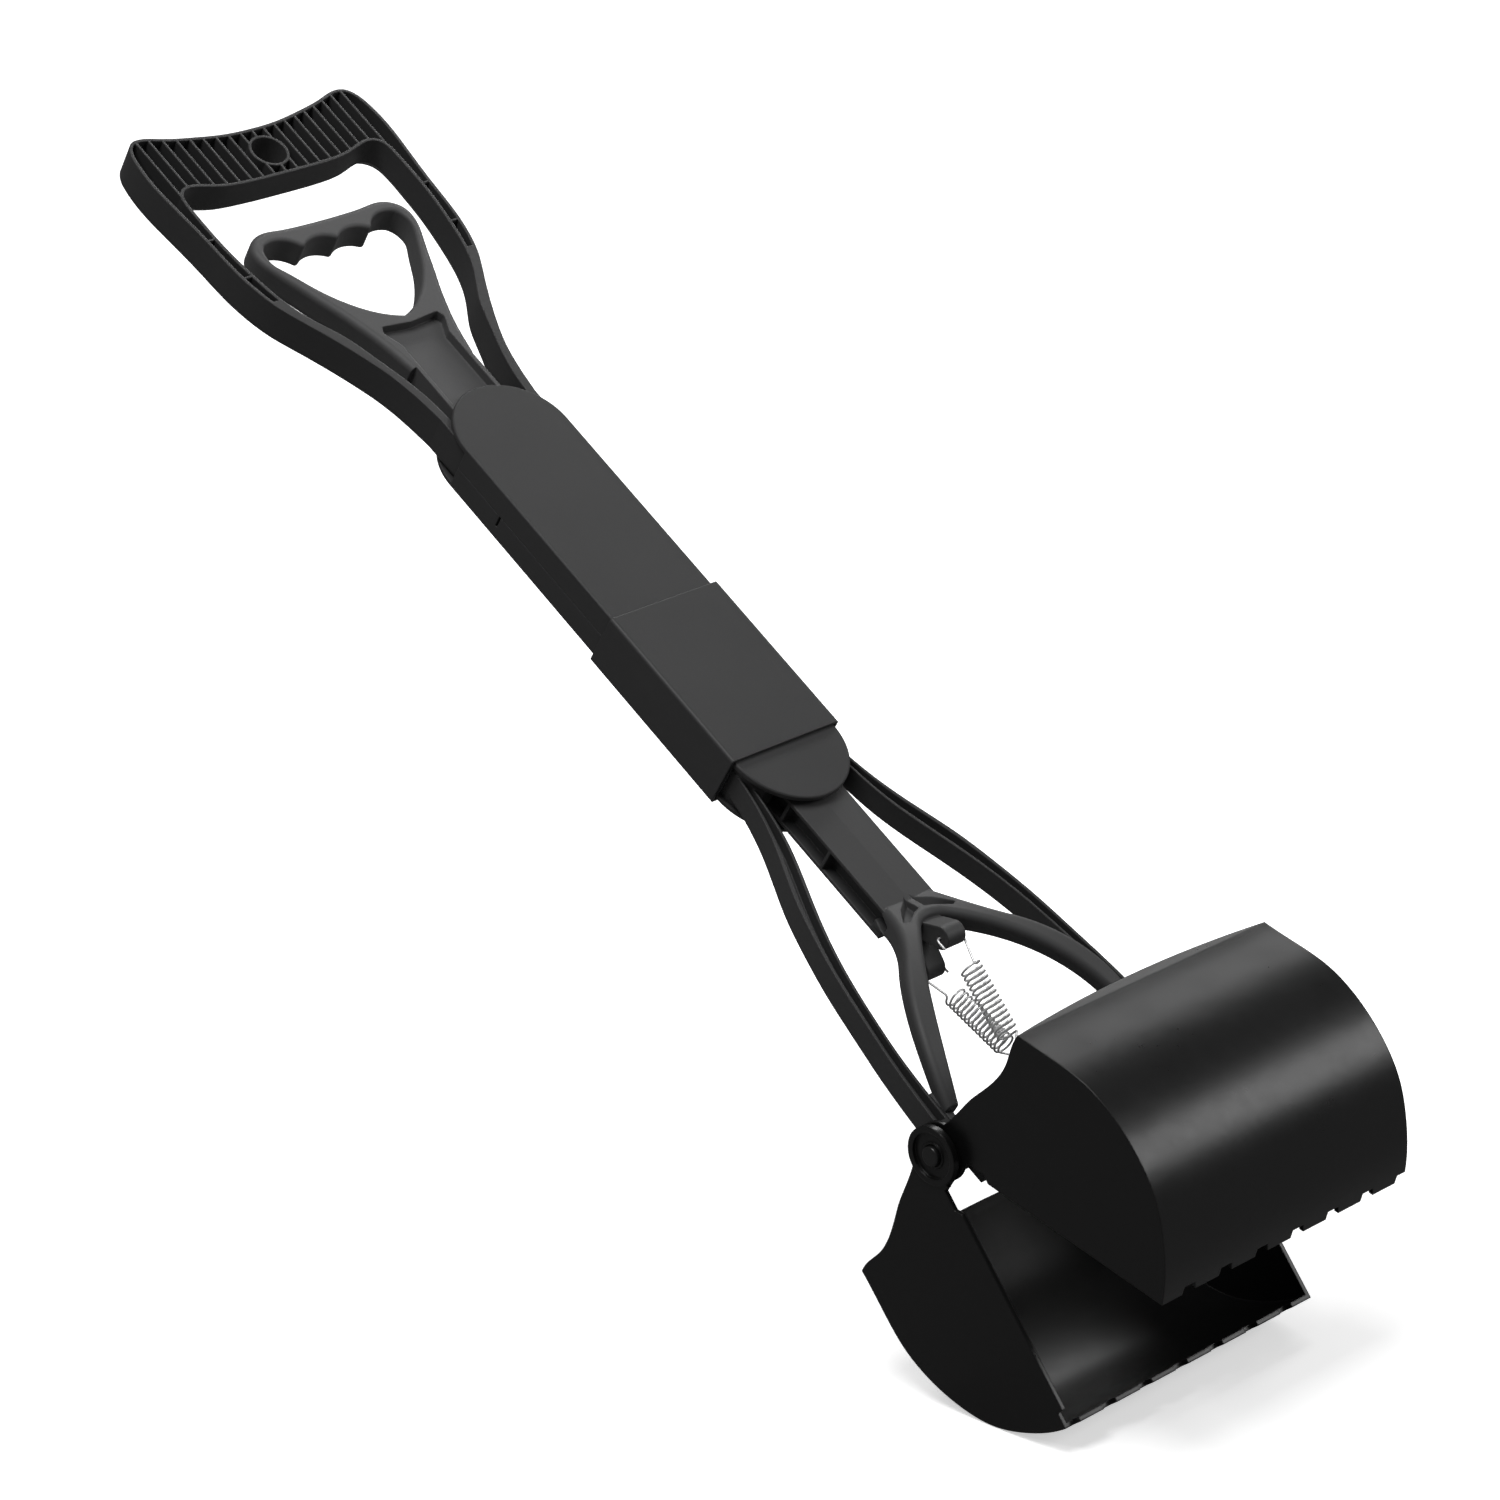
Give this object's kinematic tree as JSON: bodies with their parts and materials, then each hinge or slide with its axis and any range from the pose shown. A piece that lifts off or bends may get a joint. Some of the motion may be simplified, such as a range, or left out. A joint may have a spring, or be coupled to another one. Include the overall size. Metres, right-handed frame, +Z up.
{
  "type": "pooper scooper",
  "caption": "Long-handled waste scooper with a D grip, trigger handle, folding shaft with lock sleeve and spring-closed toothed jaws.",
  "frame": {"origin": "centre of the hang hole in the grip, on the middle plane", "axes": "+Z up the shaft away from the jaws, -Y the front with the ribbed side of the grip, X along the jaw axle"},
  "size_m": [0.1532, 0.1718, 0.6909],
  "materials": {
    "frame_plastic": "satin black moulded plastic, fine matt grain",
    "cover_plastic": "smooth satin black plastic",
    "sleeve_plastic": "smooth satin black plastic",
    "trigger_plastic": "satin black moulded plastic",
    "fork_plastic": "satin black moulded plastic",
    "jaw_plastic": "satin black plastic with broad soft highlights",
    "cap_plastic": "black plastic",
    "washer_plastic": "black plastic",
    "strap_plastic": "flexible black nylon",
    "screw_steel": "blackened steel",
    "axle_steel": "plain steel rod",
    "spring_steel": "bright spring wire"
  },
  "bodies": {
    "upper": {"upper_frame": "frame_plastic", "upper_front_cover": "cover_plastic", "upper_back_cover": "cover_plastic", "upper_cover_screws": "screw_steel", "fold_hinge_pin": "axle_steel"},
    "sleeve": {"locking_sleeve": "sleeve_plastic"},
    "trigger": {"trigger_handle": "trigger_plastic", "strap_rivet_upper": "axle_steel", "pull_strap": "strap_plastic"},
    "lower": {"lower_frame": "frame_plastic", "lower_front_cover": "cover_plastic", "lower_back_cover": "cover_plastic", "lower_cover_screws": "screw_steel", "jaw_axle": "axle_steel", "axle_cap_left": "cap_plastic", "axle_cap_right": "cap_plastic", "pivot_washers": "washer_plastic", "front_spring": "spring_steel", "back_spring": "spring_steel"},
    "fork": {"fork": "fork_plastic", "strap_rivet_lower": "axle_steel"},
    "front_jaw": {"front_jaw": "jaw_plastic"},
    "back_jaw": {"back_jaw": "jaw_plastic"}
  },
  "joints": [
    {"name": "fold", "type": "hinge", "parent": "upper", "child": "lower", "pos_m": [0, 0.009, -0.3624], "axis": [1, 0, 0], "range_deg": [0, 150], "deforming": ["pull_strap"]},
    {"name": "sleeve_slide", "type": "slide", "parent": "upper", "child": "sleeve", "axis": [0, 0, 1], "range_m": [0, 0.0905]},
    {"name": "trigger_slide", "type": "slide", "parent": "upper", "child": "trigger", "axis": [0, 0, 1], "range_m": [-0.00775, 0.01049], "stiffness_N_per_m": 700, "springref_m": 0.005},
    {"name": "fork_slide", "type": "slide", "parent": "lower", "child": "fork", "axis": [0, 0, 1], "range_m": [-0.0078, 0.0105], "deforming": ["front_spring", "back_spring"]},
    {"name": "front_jaw_hinge", "type": "hinge", "parent": "lower", "child": "front_jaw", "pos_m": [0, 0, -0.5565], "axis": [-1, 0, 0], "range_deg": [-19.05, 25.75]},
    {"name": "back_jaw_hinge", "type": "hinge", "parent": "lower", "child": "back_jaw", "pos_m": [0, 0, -0.5565], "axis": [1, 0, 0], "range_deg": [-19.05, 25.75]}
  ],
  "couplings": [
    {"joint": "sleeve_slide", "follows": "fold", "m_per_rad": 0.0344},
    {"joint": "fork_slide", "follows": "trigger_slide", "ratio": 1},
    {"joint": "front_jaw_hinge", "follows": "trigger_slide", "rad_per_m": 42.757},
    {"joint": "back_jaw_hinge", "follows": "trigger_slide", "rad_per_m": 42.757}
  ]
}
